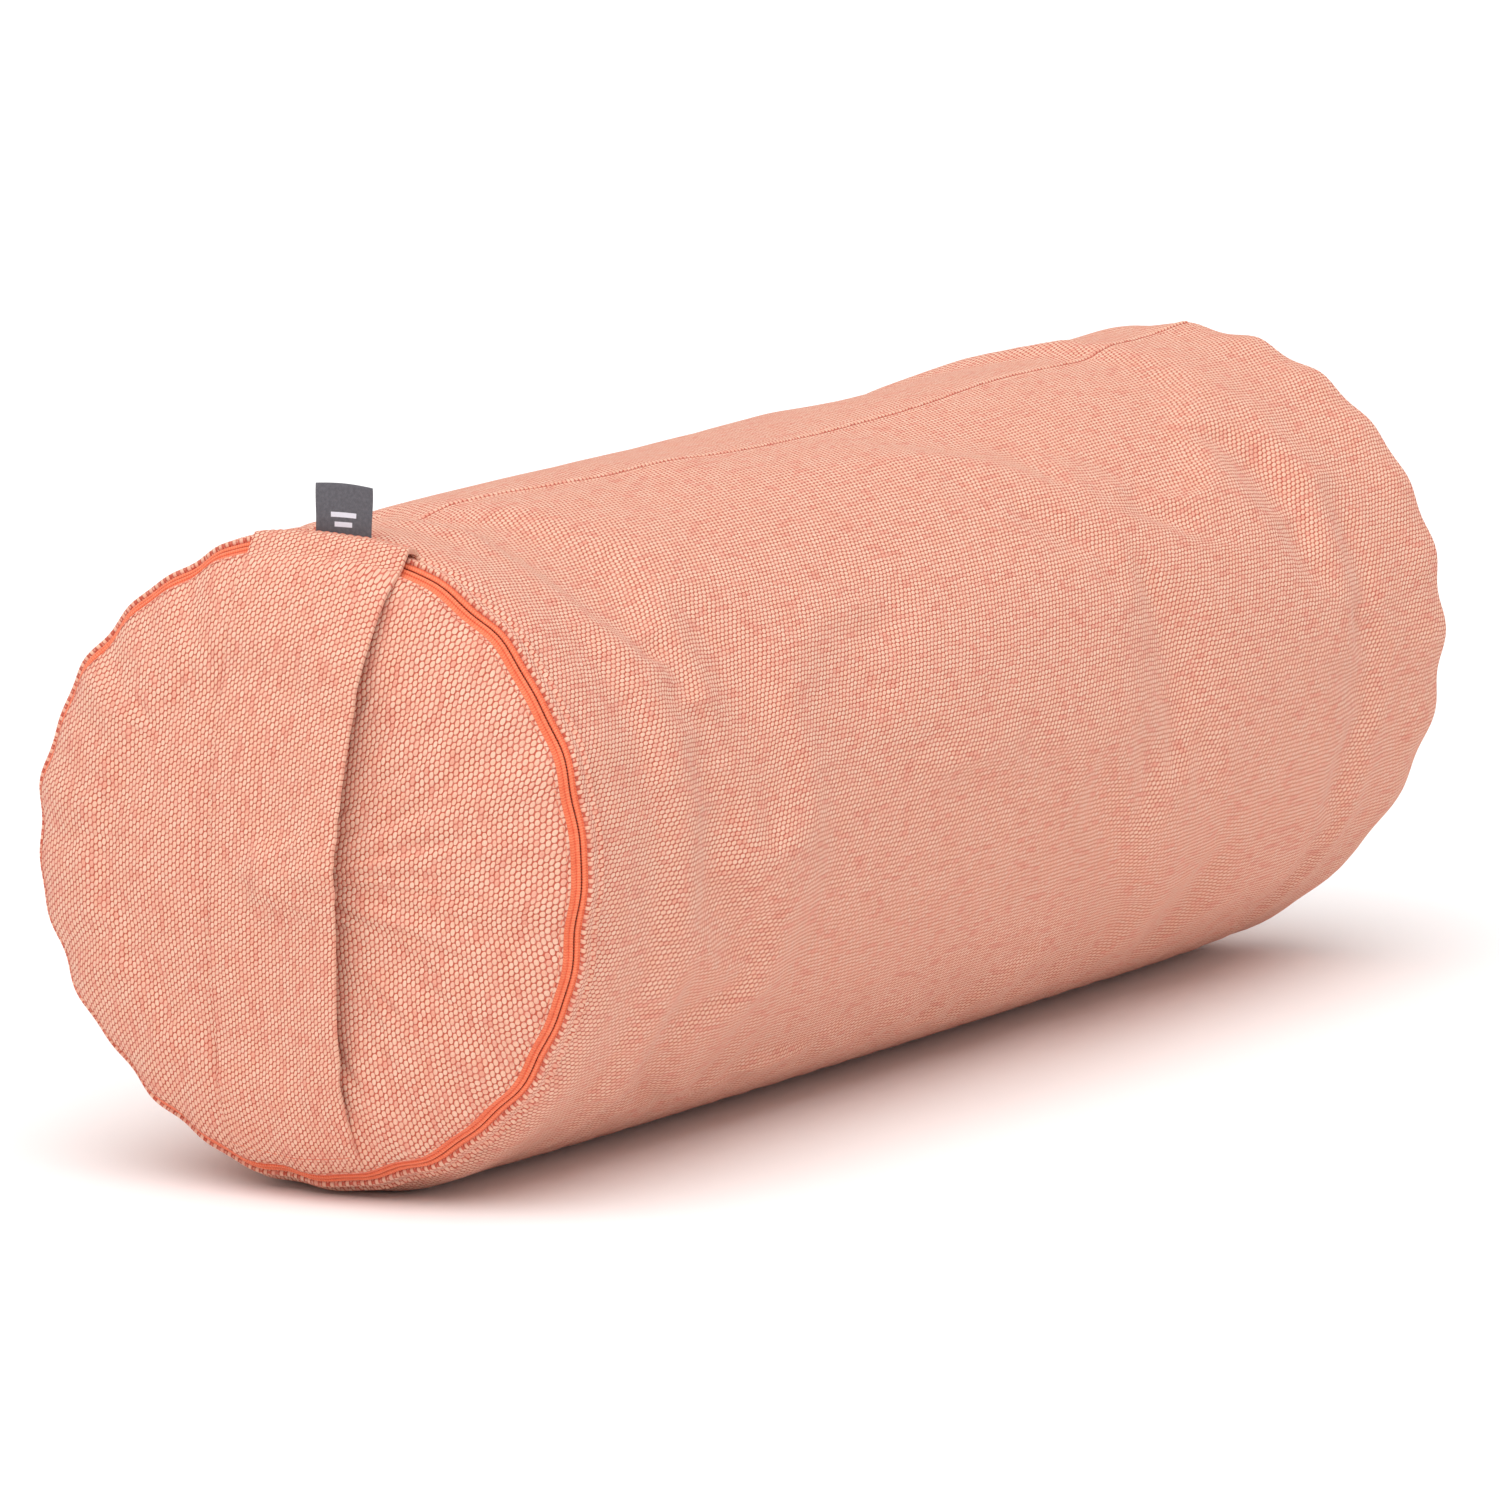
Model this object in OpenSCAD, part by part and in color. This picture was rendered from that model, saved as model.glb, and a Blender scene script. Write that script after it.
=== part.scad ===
// Bolster pillow: a woven cover with a zipped end flap and a carry strap, over a husk-filled inner bag.
// It lies along X with its zipped end at -X, and rests on the plane z = 0.

/* [Pillow] */
// Length over everything, from the strap to the crown of the rear end
overall_l = 650; // [600:5:700]
// Radius of the cover at the front seam
front_rim_r = 102.5; // [100:0.5:103.5]
// Radius of the cover at the rear seam
rear_rim_r = 104.5; // [100:0.5:104.5]
// Half the width of the cover at its fullest, halfway along
belly_r = 112.5; // [110:0.5:114]
// Height of the cover halfway along, where its own weight has settled it
settled_h = 214.2; // [214.2:0.2:220]
// How far the cover is pressed flat where it rests on the floor
floor_press = 3; // [3:0.5:4]
// Height of the front end's crown over the front seam
front_crown = 34; // [28:1:40]
// Height of the rear end's crown over the rear seam
rear_crown = 18; // [12:1:24]
// Thickness of the cover cloth
cloth_t = 1.2; // [0.8:0.1:1.5]

/* [Zip round the front end] */
// Distance from the front seam to the line where the two rows of teeth meet
zip_offset = 4.5; // [4.5:0.5:6]
// Thickness of the zip's tapes
tape_t = 0.8; // [0.6:0.1:1]
// Width of one row of teeth
teeth_w = 1.4; // [1.2:0.1:1.4]
// Height of the teeth, across the tape
teeth_h = 1.6; // [1.4:0.1:1.6]
// Half the angle of the gap at the top, where the flap hinges
hinge_half_angle = 7; // [6:0.5:7]
// Where the slider is parked, as an angle from the top
slider_angle = 12; // [12:0.5:14]
// Length of the pull tab from its pivot
pull_l = 13; // [11:0.5:13]

/* [Carry strap] */
// Width of the strap
strap_w = 54; // [46:1:60]
// Thickness of the strap, a folded band of cover cloth
strap_t = 2.4; // [2:0.1:2.5]
// How far the strap's middle line lies from the pillow's, towards the slider
strap_side = 4; // [2:1:6]
// Room for a hand between the strap's middle and the end panel
strap_gap = 6.5; // [6:0.5:9]
// Height of the strap's two sewn ends, over and under the pillow's axis
strap_reach_z = 92.5; // [88:0.5:93]

/* [Labels] */
// Width of the woven label in the top seam
label_w = 20.5; // [16:0.5:25]
// How far the label stands up from the rim
label_h = 19; // [12:1:22]
// Thickness of the folded label
label_t = 0.8; // [0.5:0.1:0.8]

/* [Inner bag] */
// Gap between the cover and the inner bag
bag_gap = 4.6; // [4.6:0.1:5.4]
// Thickness of the inner bag's cotton
bag_t = 0.6; // [0.4:0.1:0.6]
// Length of the inner bag's filling zip
bag_zip_l = 200; // [120:10:220]
// Angle of the filling zip from the top, on the far side
bag_zip_angle = -85; // [-95:5:-80]

/* [Hidden] */

$fn = 96;
past = 1;                      // how far a cutting shape runs past what it cuts
thread_t = 0.3;                // how far a line of sewing stands proud
thread_w = 0.6;
skin_gap = 0.1;                // between two cloths or threads that follow the same curved face
seam_proud = 0.35;             // from the cover to its sewing
seam_turn = 9;                 // width of the cloth turned in at a seam
seam_angle = 3;                // where the lengthwise seam lies, from the top
barrel_steps = 14;             // cone bands that make up the barrel's curve
thread_bands = 56;             // the same along the lengthwise sewing, which follows the flattened top closely
arc_steps = 12;                // points along a crown or along the strap

axis_z = belly_r - floor_press;
settled_curve = 150;           // radius of the flattened top, across the pillow
strap_out = front_crown + strap_gap + strap_t;
front_x = -overall_l / 2 + strap_out;             // front seam
rear_x = overall_l / 2 - rear_crown;              // rear seam
mid_x = (front_x + rear_x) / 2;
half_l = (rear_x - front_x) / 2;
zip_x = front_x - zip_offset;                     // where the two rows of teeth meet
teeth_gap = 0.6;                                  // from that line to each row of teeth
teeth_edge = teeth_gap + teeth_w;
flap_x = front_x - 2 * zip_offset;                // edge of the front end panel
flap_crown_h = front_crown - 2 * zip_offset;
bag_deep = cloth_t + bag_gap;                     // from the cover's outside to the bag's
bag_top = belly_r - bag_deep;
bag_inset = 2;                                    // from the cover's end seams to the bag's
bag_front_x = front_x - bag_inset;
bag_rear_x = rear_x - bag_inset;
crown_gap = 3;                                    // between the cover's crowns and the bag's
bag_front_h = front_crown - cloth_t - crown_gap - bag_inset;
bag_rear_h = rear_crown - cloth_t - crown_gap + bag_inset;
first_tooth = hinge_half_angle + 2;
last_tooth = 348.5;
stop_angle = 1.4;

// Radius of the cover along its length, and its radius along its flattened top
function cover_r(x) = belly_r - (belly_r - (x < mid_x ? front_rim_r : rear_rim_r)) * pow((x - mid_x) / half_l, 2);
function top_r(x) = min(cover_r(x), settled_h - axis_z);
function steps(from, to, count) = [for (i = [0 : count]) from + (to - from) * i / count];
// Radius of the sphere whose cap has this height on a circle of this radius
function cap_r(r, h) = (r * r + h * h) / (2 * h);
// How far the front end panel's crown stands out from its edge, at a height from the axis
function flap_crown(z) = sqrt(pow(cap_r(front_rim_r, flap_crown_h), 2) - z * z)
    - (cap_r(front_rim_r, flap_crown_h) - flap_crown_h);
seam_end_gap = 0.8;                               // strap to end panel at the sewn ends
function strap_lift_at(z) = seam_end_gap + (strap_gap - seam_end_gap) * max(0, 1 - pow(z / strap_reach_z, 2));
function strap_inner_x(z) = flap_x - flap_crown(z) - strap_lift_at(z);

// Things are drawn round the pillow's axis as outlines of [radius, x]
module round_axis() translate([0, 0, axis_z]) rotate([90, 0, 90]) children();
module full_ring() round_axis() rotate_extrude() children();
module arc_ring(from, to) round_axis() rotate([0, 0, 90 + from]) rotate_extrude(angle = to - from) children();
module turned_about_axis(angle) translate([0, 0, axis_z]) rotate([angle, 0, 0]) children();
module band(r1, r2, x1, x2) translate([r1, x1]) square([r2 - r1, x2 - x1]);
module above(z) translate([-overall_l, -overall_l / 2, z]) cube([2 * overall_l, overall_l, overall_l]);

// A band along the cover, between two depths under its top
module top_band(x1, x2, deep, shallow, bands)
    polygon([for (x = steps(x1, x2, bands)) [top_r(x) - deep, x],
             for (x = steps(x2, x1, bands)) [top_r(x) - shallow, x]]);

// What lies under the pillow's flattened top, at a depth under its surface
module settled(deep)
    translate([-overall_l, 0, settled_h - settled_curve])
        rotate([0, 90, 0]) cylinder(h = 2 * overall_l, r = settled_curve - deep, $fn = 180);

// A solid barrel at a depth under the cover's surface, its flat ends lengthened by the same amount
module barrel(deep, x1, x2, longer)
    intersection() {
        full_ring() polygon([[0, x1 - longer], [cover_r(x1) - deep, x1 - longer],
            for (x = steps(x1, x2, barrel_steps)) [cover_r(x) - deep, x],
            [cover_r(x2) - deep, x2 + longer], [0, x2 + longer]]);
        settled(deep);
    }

// A domed shell on the circle of radius r at x, standing out by h towards side (-1 or 1)
module crown_shell(r, h, x, side, t) {
    big = cap_r(r, h);
    centre = x + side * (h - big);
    intersection() {
        difference() {
            translate([centre, 0, axis_z]) sphere(r = big, $fn = 200);
            translate([centre, 0, axis_z]) sphere(r = big - t, $fn = 200);
        }
        translate([side > 0 ? x : x - 2 * h, -2 * r, axis_z - 2 * r]) cube([2 * h, 4 * r, 4 * r]);
    }
}

module body_panel() color("salmon")
    difference() {
        intersection() {
            barrel(0, front_x, rear_x, 0);
            above(0);
        }
        intersection() {
            barrel(cloth_t, front_x, rear_x, past);
            above(cloth_t);
        }
    }

module length_seam_allowance() color("coral")
    arc_ring(seam_angle - 2.5, seam_angle + 2.5)
        top_band(front_x + seam_turn + past, rear_x - seam_turn - past,
                 2 * cloth_t + skin_gap, cloth_t + skin_gap, barrel_steps);

module length_seam_thread() color("tomato")
    arc_ring(seam_angle - 0.15, seam_angle + 0.15)
        top_band(front_x + 4, rear_x - 2, -seam_proud, -seam_proud - thread_t, thread_bands);

module front_seam_allowance() color("coral")
    full_ring() band(front_rim_r - 2 * cloth_t, front_rim_r - cloth_t, front_x, front_x + seam_turn);

module front_seam_thread() color("tomato")
    full_ring() band(front_rim_r + seam_proud, front_rim_r + seam_proud + thread_t,
                     front_x + 1.2, front_x + 1.2 + thread_w);

module rear_end_panel() color("salmon") crown_shell(rear_rim_r, rear_crown, rear_x, 1, cloth_t);

module rear_seam_allowance() color("coral")
    full_ring() band(rear_rim_r - 2 * cloth_t, rear_rim_r - cloth_t, rear_x - seam_turn, rear_x);

module rear_seam_thread() color("tomato")
    full_ring() band(rear_rim_r + seam_proud, rear_rim_r + seam_proud + thread_t,
                     rear_x - 1.2 - thread_w, rear_x - 1.2);

strip_gap = 0.3;                                  // degrees between the strip and the zip's tapes
module flap_hinge_strip() color("salmon")
    arc_ring(strip_gap - hinge_half_angle, hinge_half_angle - strip_gap)
        band(front_rim_r - cloth_t / 2, front_rim_r + tape_t / 2, flap_x, front_x);

module side_label() color("dimgray")
    difference() {
        translate([front_x - label_t - 0.05, 1 - label_w, axis_z])
            cube([label_t, label_w, front_rim_r + label_h]);
        full_ring() band(0, front_rim_r + 0.55, zip_x, front_x + past);
    }

care_angle = 100;                                 // where the care label hangs inside, from the top
module care_label() color("white")
    arc_ring(care_angle, care_angle + 16)
        band(rear_rim_r - cloth_t - 1.4, rear_rim_r - cloth_t - 1, rear_x - seam_turn - 36, rear_x - seam_turn - 0.3);

module zip_tape_band(x1, x2) arc_ring(hinge_half_angle, 360 - hinge_half_angle)
    band(front_rim_r - tape_t / 2, front_rim_r + tape_t / 2, x1, x2);
module zip_teeth_band(x1) arc_ring(first_tooth, last_tooth)
    band(front_rim_r - teeth_h / 2, front_rim_r + teeth_h / 2, x1, x1 + teeth_w);
module zip_stop_block(from, x1, x2) arc_ring(from, from + stop_angle)
    band(front_rim_r - teeth_h / 2 - 0.2, front_rim_r + teeth_h / 2 + 0.2, x1, x2);

module body_zip_tape() color("darkorange") zip_tape_band(zip_x + teeth_edge, front_x);
module body_zip_teeth() color("orangered") zip_teeth_band(zip_x + teeth_gap);
module body_top_stop() color("peru")
    zip_stop_block(hinge_half_angle + 0.3, zip_x + teeth_gap, zip_x + teeth_edge);
module zip_bottom_stop() color("peru")
    zip_stop_block(last_tooth + 0.3, zip_x - teeth_edge + 0.1, zip_x + teeth_edge - 0.1);

// The bag's zip lies straight along the bag, level with the bag at its middle
bag_slot_w = 8.4;
bag_tape_z = bag_top + 0.1;
bag_teeth_z = bag_tape_z - 0.6;
bag_teeth_h = 1.8;
bag_teeth_w = 1.3;
bag_plate_t = 1;
bag_slider_l = 9;
bag_slider_w = 6.8;
module bag_slot(w, deep)
    turned_about_axis(bag_zip_angle)
        translate([mid_x - bag_zip_l / 2 - 3, -w / 2, bag_top - deep])
            cube([bag_zip_l + 6, w, deep + 10]);

module inner_bag_tube() color("ivory")
    difference() {
        barrel(bag_deep, bag_front_x, bag_rear_x, 0);
        barrel(bag_deep + bag_t, bag_front_x, bag_rear_x, past);
        bag_slot(bag_slot_w, 5);
    }

module inner_bag_front_end() color("ivory")
    crown_shell(cover_r(bag_front_x) - bag_deep, bag_front_h, bag_front_x, -1, bag_t);
module inner_bag_rear_end() color("ivory")
    crown_shell(cover_r(bag_rear_x) - bag_deep, bag_rear_h, bag_rear_x, 1, bag_t);

module bag_zip_side(side, w1, w2, z, t)
    translate([mid_x - bag_zip_l / 2, side > 0 ? w1 : -w2, z]) cube([bag_zip_l, w2 - w1, t]);
module inner_zip_tapes() color("linen")
    turned_about_axis(bag_zip_angle)
        for (side = [-1, 1]) bag_zip_side(side, teeth_gap + bag_teeth_w, 11, bag_tape_z, bag_t);
module inner_zip_teeth() color("wheat")
    turned_about_axis(bag_zip_angle)
        for (side = [-1, 1]) bag_zip_side(side, teeth_gap, teeth_gap + bag_teeth_w, bag_teeth_z, bag_teeth_h);
module inner_zip_stops() color("silver")
    turned_about_axis(bag_zip_angle)
        for (end = [-1, 1])
            translate([mid_x + end * (bag_zip_l / 2 + 1) - 0.7, -1.8, bag_teeth_z])
                cube([1.4, 3.6, bag_teeth_h]);

// Outline of what fills the bag, a little inside its cloth
fill_inset = bag_t + 0.2;
fill_deep = bag_deep + fill_inset;
module husk_filling() color("burlywood")
    difference() {
        intersection() {
            full_ring() polygon([
                for (a = steps(0, 1, arc_steps)) fill_end(bag_front_x, bag_front_h, -1, a),
                for (x = steps(bag_front_x + past, bag_rear_x - past, barrel_steps)) [cover_r(x) - fill_deep, x],
                for (a = steps(1, 0, arc_steps)) fill_end(bag_rear_x, bag_rear_h, 1, a)]);
            settled(fill_deep);
        }
        bag_slot(bag_slot_w + 0.8, 3);
    }
// A point on the filling's crown: share runs from 0 on the axis to 1 at the edge
function fill_end(x, h, side, share) =
    let (edge = cover_r(x) - bag_deep, big = cap_r(edge, h), r = share * (edge - 2 * fill_inset))
        [r, x + side * (h - big + sqrt(pow(big - fill_inset, 2) - r * r))];

module front_end_panel() color("salmon") crown_shell(front_rim_r, flap_crown_h, flap_x, -1, cloth_t);

flap_sewing_r = front_rim_r - 6;
module flap_seam_thread() color("tomato")
    full_ring() band(flap_sewing_r, flap_sewing_r + thread_w,
                     flap_x - flap_crown(flap_sewing_r) - thread_t - 0.15,
                     flap_x - flap_crown(flap_sewing_r) - 0.15);

module flap_zip_tape() color("darkorange") zip_tape_band(flap_x, zip_x - teeth_edge);
module flap_zip_teeth() color("orangered") zip_teeth_band(zip_x - teeth_edge);
module flap_top_stop() color("peru")
    zip_stop_block(hinge_half_angle + 0.3, zip_x - teeth_edge, zip_x - teeth_gap);

// The strap is drawn as an outline of [x, height over the axis] and has its width along Y
module strap_sheet(w) translate([0, w / 2 - strap_side, axis_z]) rotate([90, 0, 0]) linear_extrude(height = w) children();
module strap_outline(z1, z2, off, t)
    polygon([for (z = steps(z1, z2, arc_steps)) [strap_inner_x(z) - off, z],
             for (z = steps(z2, z1, arc_steps)) [strap_inner_x(z) - off - t, z]]);

strap_over_zip = front_rim_r + 2.8;                     // the strap's underside, where it passes over the zip
strap_top_x = front_x - 1.2;
strap_step = 0.5;                                 // gap between the strap's pieces
module strap_top_end() color("lightsalmon")
    strap_sheet(strap_w) polygon([
        [strap_top_x, strap_over_zip], [strap_top_x, strap_over_zip + strap_t],
        [flap_x - 3, strap_over_zip + strap_t], [flap_x - 6, front_rim_r],
        [strap_inner_x(strap_reach_z) - strap_t, strap_reach_z],
        [strap_inner_x(strap_reach_z), strap_reach_z],
        [flap_x - 3.5, front_rim_r], [flap_x - 1.8, strap_over_zip]]);

module carry_strap() color("lightsalmon")
    strap_sheet(strap_w) strap_outline(4 - strap_reach_z, strap_reach_z - strap_step, 0, strap_t);

module strap_bottom_end() color("lightsalmon")
    strap_sheet(strap_w) strap_outline(-strap_reach_z - 5, 4 - strap_reach_z - strap_step, 0, strap_t);

module strap_top_stitching() color("tomato")
    for (row = [0, 1])
        translate([strap_top_x - 2.4 - 3.2 * row, 2 - strap_w / 2 - strap_side, axis_z + strap_over_zip + strap_t])
            cube([thread_w, strap_w - 4, 0.25]);
module strap_bottom_stitching() color("tomato")
    for (row = [0, 1]) {
        z = -strap_reach_z - 2.5 + 3.2 * row;
        strap_sheet(strap_w - 4) strap_outline(z, z + thread_w, strap_t, 0.25);
    }

// Zip slider, in a frame of its own: Y along the zip towards the top gap, Z out from the pillow
slider_l = 8;
plate_low = 1.5;                                  // underside of the top plate over the tape's middle
plate_t = 0.7;
under_plate_low = -plate_low - plate_t;
plate_in = -3;                                    // reach towards the flap
plate_out = 3;                                    // reach towards the body
neck_w = 0.5;
pivot_z = 3.4;
pivot_pin_r = 0.4;
lug_t = 0.8;
lug_gap = 2.6;
lip_w = 0.7;                                      // the lips that hold the body's tape in the slider
lip_l = 4;
lip_clear = 0.8;                                  // from the tape's middle to each lip
module at_slider() translate([zip_x, 0, 0]) turned_about_axis(slider_angle) translate([0, 0, front_rim_r]) children();

// Plan of a slider: narrow at its tail, wide at its two mouths
module slider_plan(w1, w2, l)
    polygon([[w1 * 0.7, l / 2], [w2 * 0.7, l / 2], [w2, l / 6], [w2, -l / 3], [w2 * 0.8, -l / 2],
             [w1 * 0.8, -l / 2], [w1, -l / 3], [w1, l / 6]]);

module zip_slider() color("goldenrod")
    at_slider() {
        translate([0, 0, plate_low]) linear_extrude(height = plate_t) slider_plan(plate_in, plate_out, slider_l);
        translate([0, 0, under_plate_low]) linear_extrude(height = plate_t) slider_plan(plate_in, plate_out, slider_l);
        translate([-neck_w / 2, -slider_l / 2 + 1, under_plate_low + plate_t / 2])
            cube([neck_w, 4, plate_low - under_plate_low]);
        translate([plate_out - lip_w, -lip_l / 2, lip_clear])
            cube([lip_w, lip_l, plate_low - lip_clear + plate_t / 2]);
        translate([plate_out - lip_w, -lip_l / 2, under_plate_low + plate_t / 2])
            cube([lip_w, lip_l, -lip_clear - under_plate_low - plate_t / 2]);
        for (side = [-1, 1])
            translate([side * (lug_gap + lug_t) / 2 - lug_t / 2, -0.8, plate_low + plate_t / 2])
                cube([lug_t, 1.6, pivot_z + pivot_pin_r + 0.2 - plate_low - plate_t / 2]);
        translate([-lug_gap / 2 - lug_t / 2, 0, pivot_z])
            rotate([0, 90, 0]) cylinder(h = lug_gap + lug_t, r = pivot_pin_r, $fn = 32);
    }

pull_tilt = -8;                                   // the parked tab lies down along the zip
pull_w = 5;
pull_t = 0.8;
eye_r = 0.98;
eye_w = 2;
module zip_pull_tab() color("goldenrod")
    at_slider() translate([0, 0, pivot_z]) rotate([pull_tilt, 0, 0])
        difference() {
            union() {
                translate([-eye_w / 2, 0, 0]) rotate([0, 90, 0]) cylinder(h = eye_w, r = eye_r, $fn = 32);
                translate([-eye_w / 2, 0.7, -pull_t / 2]) cube([eye_w, 2.8, pull_t]);
                translate([-pull_w / 2, 3, -pull_t / 2]) cube([pull_w, pull_l - 3 - pull_w / 2, pull_t]);
                translate([0, pull_l - pull_w / 2, -pull_t / 2]) cylinder(h = pull_t, r = pull_w / 2, $fn = 48);
            }
            translate([-eye_w, 0, 0]) rotate([0, 90, 0]) cylinder(h = 2 * eye_w, r = pivot_pin_r + 0.2, $fn = 32);
            translate([0, pull_l - pull_w / 2, -past]) cylinder(h = 2 * past, r = 1.1, $fn = 32);
        }

module inner_zip_slider() color("silver")
    turned_about_axis(bag_zip_angle)
        translate([mid_x + bag_zip_l / 2 - 8, 0, bag_teeth_z]) {
            for (z = [-bag_plate_t - 0.4, bag_teeth_h + 0.4])
                translate([0, 0, z]) rotate([0, 0, 90]) linear_extrude(height = bag_plate_t)
                    slider_plan(-bag_slider_w / 2, bag_slider_w / 2, bag_slider_l);
            translate([-1, -neck_w / 2, -0.8]) cube([4, neck_w, bag_teeth_h + 1.6]);
        }

body_panel();
length_seam_allowance();
length_seam_thread();
front_seam_allowance();
front_seam_thread();
rear_end_panel();
rear_seam_allowance();
rear_seam_thread();
flap_hinge_strip();
side_label();
care_label();
body_zip_tape();
body_zip_teeth();
body_top_stop();
zip_bottom_stop();
inner_bag_tube();
inner_bag_front_end();
inner_bag_rear_end();
inner_zip_tapes();
inner_zip_teeth();
inner_zip_stops();
husk_filling();
front_end_panel();
flap_seam_thread();
flap_zip_tape();
flap_zip_teeth();
flap_top_stop();
strap_top_end();
strap_bottom_end();
strap_top_stitching();
strap_bottom_stitching();
carry_strap();
zip_slider();
zip_pull_tab();
inner_zip_slider();
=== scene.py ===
"""The looks of a round bolster pillow: a zip-off woven cover with a hinged end flap, a carry strap and a side label."""

import math
import random

import bmesh
import bpy
from mathutils import Matrix, Vector
from mathutils.bvhtree import BVHTree


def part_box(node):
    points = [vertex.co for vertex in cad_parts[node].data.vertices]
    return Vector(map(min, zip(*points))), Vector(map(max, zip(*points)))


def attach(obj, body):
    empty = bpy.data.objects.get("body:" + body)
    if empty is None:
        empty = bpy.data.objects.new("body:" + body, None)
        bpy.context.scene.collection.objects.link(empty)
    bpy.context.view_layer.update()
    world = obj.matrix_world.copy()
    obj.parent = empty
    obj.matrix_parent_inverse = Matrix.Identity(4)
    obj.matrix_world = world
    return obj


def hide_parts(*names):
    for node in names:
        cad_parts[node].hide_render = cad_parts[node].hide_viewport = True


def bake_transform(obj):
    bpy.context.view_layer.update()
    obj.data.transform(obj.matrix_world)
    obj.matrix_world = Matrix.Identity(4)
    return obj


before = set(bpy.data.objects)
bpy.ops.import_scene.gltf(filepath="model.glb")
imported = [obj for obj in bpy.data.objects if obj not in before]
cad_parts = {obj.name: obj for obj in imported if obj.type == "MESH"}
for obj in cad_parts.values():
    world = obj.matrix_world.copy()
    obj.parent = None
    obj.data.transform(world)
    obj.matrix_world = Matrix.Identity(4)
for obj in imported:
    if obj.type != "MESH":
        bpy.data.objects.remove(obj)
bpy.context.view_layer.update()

MM = 0.001
MAIN = "cover_and_inner_pillow"
FLAP = "end_flap"

# ---------------------------------------------------------------- sizes, from the frame
body_low, body_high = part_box("body_panel")
front_low, front_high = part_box("front_end_panel")
rear_low, rear_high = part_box("rear_end_panel")
bag_low, bag_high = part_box("inner_bag_tube")
bag_front_low, bag_front_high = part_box("inner_bag_front_end")
bag_rear_low, bag_rear_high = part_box("inner_bag_rear_end")
strap_low, strap_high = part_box("carry_strap")
strap_top_low, strap_top_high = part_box("strap_top_end")
label_low, label_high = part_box("side_label")
bag_tape_low, bag_tape_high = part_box("inner_zip_tapes")
care_low, care_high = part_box("care_label")

FRONT_X = body_low.x                              # the front seam
REAR_X = body_high.x                              # the rear seam
MID_X = (FRONT_X + REAR_X) / 2
HALF_L = (REAR_X - FRONT_X) / 2
FLAP_X = front_high.x                             # the flap's edge
ZIP_X = (FRONT_X + FLAP_X) / 2                    # where the two rows of teeth meet
APEX_X = front_low.x
REAR_APEX_X = rear_high.x
AXIS_Z = (rear_low.z + rear_high.z) / 2
FRONT_R = (front_high.z - front_low.z) / 2
REAR_R = (rear_high.z - rear_low.z) / 2
BELLY_R = (body_high.y - body_low.y) / 2
CLOTH = 1.2 * MM
SEAM_ANGLE = 3                                    # the lengthwise seam, in degrees from the top


def barrel(x):
    """Radius of the cover at a place along it, before it settles."""
    u = (x - MID_X) / HALF_L
    return BELLY_R - (BELLY_R - (FRONT_R if u < 0 else REAR_R)) * min(1, u * u)


def swell(value, centre, width):
    """A bell-shaped rise of height 1."""
    return math.exp(-((value - centre) / width) ** 2)


def ease(t):
    t = max(0.0, min(1.0, t))
    return t * t * (3 - 2 * t)


# ---------------------------------------------------------------- how the stuffed cover settles
def gather_waves(seed, count):
    """The uneven scallops that sewing to a zip or a round end pulls into cloth, as (turns, phase, share)."""
    rng = random.Random(seed)
    return [(count * rng.uniform(0.62, 1.3), rng.uniform(0, 360), rng.uniform(0.4, 1.0)) for _ in range(5)]


FRONT_WAVES = gather_waves(4, 23)
REAR_WAVES = gather_waves(9, 21)
FRONT_SAG = [(38, 26, 2.1), (98, 15, -1.6), (222, 17, -2.0), (272, 20, 1.4), (327, 20, -1.6)]   # angle, spread, mm


def turn_gap(a, b):
    """The shorter way round between two angles, in degrees."""
    return (a - b + 180) % 360 - 180


def scallop(angle, waves):
    total = sum(share * math.sin(math.radians(round(turns) * angle + phase)) for turns, phase, share in waves)
    return total / 2.4


def near_top(angle):
    """0 under the strap and beside the slider, where the seams lie true, and 1 elsewhere."""
    return ease((abs(turn_gap(angle, 0)) - 14) / 14)


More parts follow.
